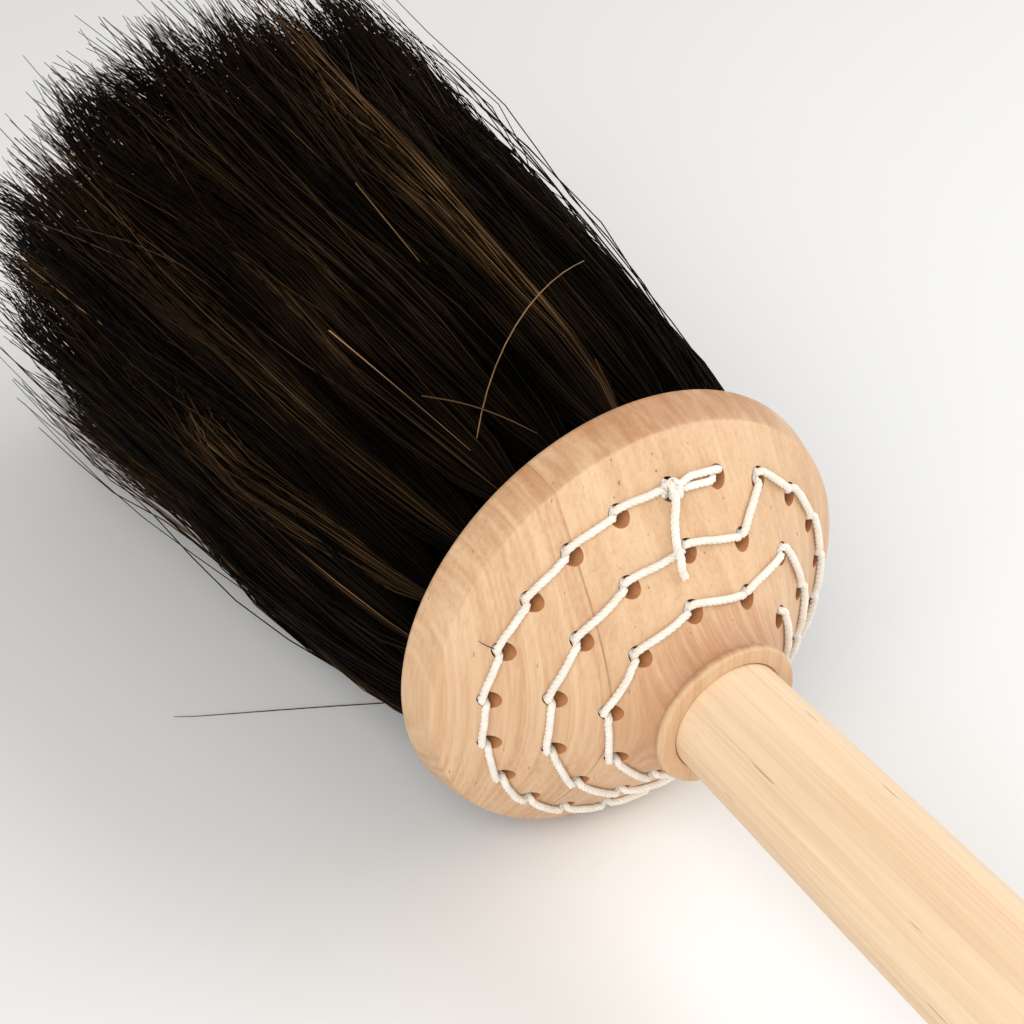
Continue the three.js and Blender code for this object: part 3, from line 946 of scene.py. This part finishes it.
def tail_route():
    """From the knot across to the middle ring's first stitch, over it and round it."""
    hole = holes[1]
    middle_ring = [h for h in holes if h.ring == "middle"]
    crossed, after = middle_ring[1], middle_ring[2]
    stitch = heading(crossed.mouth, after.mouth)
    crossing = crossed.mouth + stitch * 3.2
    crossing_angle = math.atan2(crossing[2], crossing[1])
    crossing_radius = math.hypot(crossing[1], crossing[2])
    top = hole.mouth + back_normal(hole.angle) * 2.6
    low = hole.radius - 2.6

    def between(share, radius, lift):
        angle = hole.angle + (crossing_angle - hole.angle) * share
        return above(angle, radius, lift)

    return [
        top + outward(hole.angle) * 0.7,
        top - outward(hole.angle) * 0.8,
        between(0.1, low, 1.5),
        between(0.28, low - 1.8, 0.95),
        between(0.62, crossing_radius + 3.6, 0.95),
        between(0.86, crossing_radius + 1.9, 1.7),
        between(1.0, crossing_radius + 0.3, 2.5),
        between(1.1, crossing_radius - 1.1, 2.0),
        between(1.05, crossing_radius - 2.1, 1.1),
        between(0.94, crossing_radius - 3.3, 0.95),
    ]


def add_twine():
    rng = np.random.default_rng(SEED)
    stitches = laid_cord(stitching_route(rng), rng)
    add_piece("laid_twine", tubes_mesh("laid_twine", stitches, 40), white_twine, "twine",
              "stitching_twine")
    knot = laid_cord(knot_route(), rng, KNOT_TWINE_RADIUS)
    loop, _ = smooth_path(frayed_loop(), TWINE_STEP)
    knot.append(round_tube(loop, np.full(len(loop), LOOSE_PLY_RADIUS), PLY_SIDES))
    add_piece("twine_knot", tubes_mesh("twine_knot", knot, 4), white_twine, "twine",
              "start_knot")
    tail = laid_cord(tail_route(), rng, TAIL_TWINE_RADIUS)
    add_piece("twine_end", tubes_mesh("twine_end", tail, 4), white_twine, "twine",
              "twine_tail")


# Hair

# Waves of the strands: size, shortest and longest wavelength, and whether a lock shares them
STRAND_WAVES = (
    (2.8, 110, 230, True),
    (0.9, 60, 110, True),
    (1.7, 75, 190, False),
    (0.35, 25, 60, False),
)


def ring_shares(ring):
    """How many bundles lie inside a ring, and how many up to its outer edge, as shares."""
    total = len(holes)
    inside = {"outer": ring_sizes["middle"] + ring_sizes["inner"],
              "middle": ring_sizes["inner"], "inner": 0}[ring]
    return inside / total, (inside + ring_sizes[ring]) / total


def hair_radius(along):
    """The radius of the whole mass of hair."""
    share = np.clip(along / HAIR_LENGTH, 0, 1.2) ** HAIR_SWELL
    return HAIR_RADIUS_AT_HEAD + (HAIR_RADIUS_AT_TIPS - HAIR_RADIUS_AT_HEAD) * share


def keep_off_table(y, z, along, clearance):
    """Hair that would go under the table lies on it instead, and a little to the side."""
    room = AXIS_HEIGHT / math.cos(TILT) + along * math.tan(TILT) - clearance
    under = -z - room
    eased = np.where(under > 1.5, under, np.where(under > -1.5, (under + 1.5) ** 2 / 6, 0))
    return y + np.sign(y) * eased * 0.25, z + eased


def strand_tubes(path, radii, turn):
    """Three-sided tubes across the brush's axis: path is strands x points x 3."""
    angles = turn[:, None] + np.arange(STRAND_SIDES)[None] * 2 * math.pi / STRAND_SIDES
    ring = np.zeros((len(path), 1, STRAND_SIDES, 3))
    ring[..., 1] = np.cos(angles)[:, None]
    ring[..., 2] = np.sin(angles)[:, None]
    return path[:, :, None] + ring * radii[..., None, None]


def strand_lengths(lock, rng):
    """Each strand's length: its bundle's, its lock's and its own, a few broken or overlong."""
    count = len(lock)
    length = HAIR_LENGTH - 6 + rng.normal(0, 5.0) + rng.normal(0, 5.0, LOCKS)[lock]
    length = length + rng.normal(0, 4.0, count)
    broken = rng.uniform(0, 1, count) < 0.1
    length = np.where(broken, length * rng.uniform(0.55, 0.95, count), length)
    overlong = rng.uniform(0, 1, count) < 0.07
    length += np.where(overlong, rng.uniform(4, LONGEST_PAST_TIPS, count), 0)
    return np.minimum(length, HAIR_LENGTH + LONGEST_PAST_TIPS)


def root_places(hole, depth, width):
    """Where the strands leave the wood: the bundle's section squeezed into its round hole."""
    outwards, sideways = 2 * depth - 1, width
    root_out = ROOT_RADIUS * outwards * np.sqrt(1 - sideways ** 2 / 2)
    root_side = ROOT_RADIUS * sideways * np.sqrt(1 - outwards ** 2 / 2)
    _, out_y, out_z = outward(hole.angle)
    return ((hole.radius + root_out) * out_y - root_side * out_z,
            (hole.radius + root_out) * out_z + root_side * out_y)


def add_waves(y, z, along, grown, lock, rng):
    """Waves that the strands of a lock share, and each strand's own."""
    growth = np.clip(grown, 0, 1) ** 0.8
    for size, shortest, longest, is_shared in STRAND_WAVES:
        owners = LOCKS if is_shared else len(lock)
        wave = rng.uniform(shortest, longest, owners)
        start = rng.uniform(0, 2 * math.pi, (2, owners))
        reach = rng.normal(0, size, (2, owners))
        if is_shared:
            wave, start, reach = wave[lock], start[:, lock], reach[:, lock]
        phase = 2 * math.pi * along / wave[:, None]
        y += reach[0][:, None] * np.sin(phase + start[0][:, None]) * growth
        z += reach[1][:, None] * np.sin(phase + start[1][:, None]) * growth


def add_leans(y, z, grown, lock, rng):
    """Strands that cross the others, locks that stand away, and the whole bundle's lean."""
    count = len(lock)
    crossing = rng.uniform(0, 1, count) < 0.26
    lean = rng.normal(0, 2.0, (2, count)) * np.where(crossing, 3.8, 1.0)
    lean += rng.normal(0, 2.4, (2, 1))
    loose = rng.uniform(0, 1, LOCKS) < 0.22
    lean += (rng.normal(0, 1.4, (2, LOCKS)) * np.where(loose, 4.5, 1.0))[:, lock]
    y += lean[0][:, None] * grown ** 1.5
    z += lean[1][:, None] * grown ** 1.5
    return crossing, loose[lock]


def add_strays(y, z, grown, hole, rng):
    """A few strands of the outer ring that stand off the brush."""
    count = len(grown)
    stray = rng.uniform(0, 1, count) < 0.035
    fling = np.where(stray, rng.uniform(2.5, 10, count), 0)
    _, out_y, out_z = outward(hole.angle)
    y += (fling[:, None] * grown ** 2) * out_y
    z += (fling[:, None] * grown ** 2) * out_z


def strand_tones(crossing, loose, lock, rng):
    """Dark to light, from 0 to 1: by lock and by strand, and a few strands nearly blond."""
    count = len(lock)
    tone = 0.5 * rng.beta(0.9, 2.0, LOCKS)[lock] + 0.56 * rng.beta(1.1, 3.0, count)
    tone = np.clip(tone + 0.08 * crossing + 0.06 * loose, 0, 0.88)
    blond = rng.uniform(0, 1, count) < 0.004
    return np.where(blond, rng.uniform(0.9, 1.0, count), tone)


def tuft_strands(hole, rng):
    """Paths, radii and tones of one bundle's strands, in millimetres."""
    count = STRANDS_PER_TUFT
    inside, filled = ring_shares(hole.ring)
    depth = rng.uniform(0, 1, count)
    width = rng.uniform(-1, 1, count)
    lock_depth = rng.uniform(0.08, 0.95, LOCKS)
    lock_width = rng.uniform(-0.9, 0.9, LOCKS)
    gap = (depth[:, None] - lock_depth) ** 2 + ((width[:, None] - lock_width) / 2) ** 2
    lock = gap.argmin(1)

    length = strand_lengths(lock, rng)
    share = np.linspace(0, 1, STRAND_POINTS) ** 1.25
    root = hole.bore_start + 0.4
    along = root + (length[:, None] - root) * share[None]
    grown = np.clip(along / HAIR_LENGTH, 0, 1.2)

    pull = 0.58 * np.clip((grown - 0.3) / 0.7, 0, 1) ** 1.3
    depth_here = depth[:, None] + (lock_depth[lock] - depth)[:, None] * pull
    width_here = width[:, None] + (lock_width[lock] - width)[:, None] * pull
    radius = hair_radius(along) * np.sqrt(inside + (filled - inside) * depth_here)
    half = math.pi / ring_sizes[hole.ring] * (1.08 + 0.3 * np.clip(grown, 0, 1))
    angle = hole.angle + width_here * half

    root_y, root_z = root_places(hole, depth, width)
    spread = 1 - np.exp(-np.maximum(along - FRONT_DOME + 0.5, 0) / 10.5)
    y = root_y[:, None] + (radius * np.cos(angle) - root_y[:, None]) * spread
    z = root_z[:, None] + (radius * np.sin(angle) - root_z[:, None]) * spread
    add_waves(y, z, along, grown, lock, rng)
    crossing, loose = add_leans(y, z, grown, lock, rng)
    if hole.ring == "outer":
        add_strays(y, z, grown, hole, rng)

    from_axis = np.hypot(y, z)
    too_far = np.maximum(from_axis - HAIR_LOOSE_RADIUS, 0)
    held = 1 - HAIR_PULLED_IN * too_far / from_axis
    y, z = keep_off_table(y * held, z * held, along, rng.uniform(0.3, 3.0, count)[:, None])
    thick = rng.uniform(0.16, 0.235, count)[:, None] * (1 - 0.45 * share[None] ** 4)
    return np.stack([along, y, z], -1), thick, strand_tones(crossing, loose, lock, rng)


# Single hairs that have come away from the rest, listed one by one: tone, radius, where each end is
# (distance along the axis, angle about it in degrees, height over the hair) and the bow between.
STRAY_HAIRS = (
    (1.0, 0.24, (15, 60, 2), (41, 105, 8), 4),
    (0.88, 0.17, (33, 58, 1), (6, 70, 3), 2),
    (0.9, 0.2, (93, 80, 4), (62, 78, 3), 0),
    (0.86, 0.16, (14, 91, 5), (4, 89, 4), 0),
    (0.95, 0.18, (62, 54, 3), (13, 57, 3), 0.5),
    (0.4, 0.2, (49, -63, 7), (73, -36, 37), 0),
)


def stray_path(start, end, bow):
    share = np.linspace(0, 1, STRAND_POINTS)
    along, degrees, lift = np.outer(start, 1 - share) + np.outer(end, share)
    turn = np.radians(degrees)
    radius = hair_radius(along) + lift + bow * np.sin(math.pi * share)
    y, z = keep_off_table(radius * np.cos(turn), radius * np.sin(turn), along, 0.25)
    return np.stack([along, y, z], -1)


def escaped_hair(hole):
    """A short hair that sticks out at the back of a hole, towards the rim."""
    length = 4.0
    reach = np.linspace(0, length, STRAND_POINTS)
    lifts = 0.2 + 0.8 * np.sin(reach / length * 2.2)
    return np.array([above(hole.angle + 0.004 * step, hole.radius + 0.6 + step, lift)
                     for step, lift in zip(reach, lifts)])


def extra_hairs(hole):
    """Stray hairs nearest to this bundle, as paths with their radii and tones."""
    found = []
    outer = [h for h in holes if h.ring == "outer"]
    for tone, thick, start, end, bow in STRAY_HAIRS:
        turn = math.radians(start[1])
        nearest = min(outer, key=lambda h: 1 - math.cos(h.angle - turn))
        if nearest is hole:
            found.append((stray_path(start, end, bow), thick, tone))
    if hole is outer[5]:
        found.append((escaped_hair(hole), 0.12, 0.3))
    return found


def tuft_mesh(hole, rng):
    path, thick, tone = tuft_strands(hole, rng)
    fade = 1 - 0.5 * np.linspace(0, 1, STRAND_POINTS) ** 3
    for extra_path, extra_thick, extra_tone in extra_hairs(hole):
        path = np.vstack([path, extra_path[None]])
        thick = np.vstack([thick, (extra_thick * fade)[None]])
        tone = np.append(tone, extra_tone)
    count = len(path)
    tubes = strand_tubes(path, thick, rng.uniform(0, 2 * math.pi, count))
    quads, column, row, side = tube_quads(count, STRAND_POINTS, STRAND_SIDES)
    name = f"hair_{hole.ring}_{hole.number:02d}"
    mesh = quad_mesh(name, tubes.reshape(-1, 3) * MM, quads)
    column_map(mesh, count, column, row, side, STRAND_POINTS, STRAND_SIDES)
    layer = mesh.attributes.new("tone", "FLOAT", "POINT")
    values = np.repeat(tone, STRAND_POINTS * STRAND_SIDES).astype(np.float32)
    layer.data.foreach_set("value", values)
    return mesh


def add_hair():
    for order, hole in enumerate(holes):
        mesh = tuft_mesh(hole, np.random.default_rng(SEED + 100 + order))
        add_piece(mesh.name, mesh, dark_hair, "horsehair", hole.node)


add_head()
add_handle()
add_twine()
add_hair()
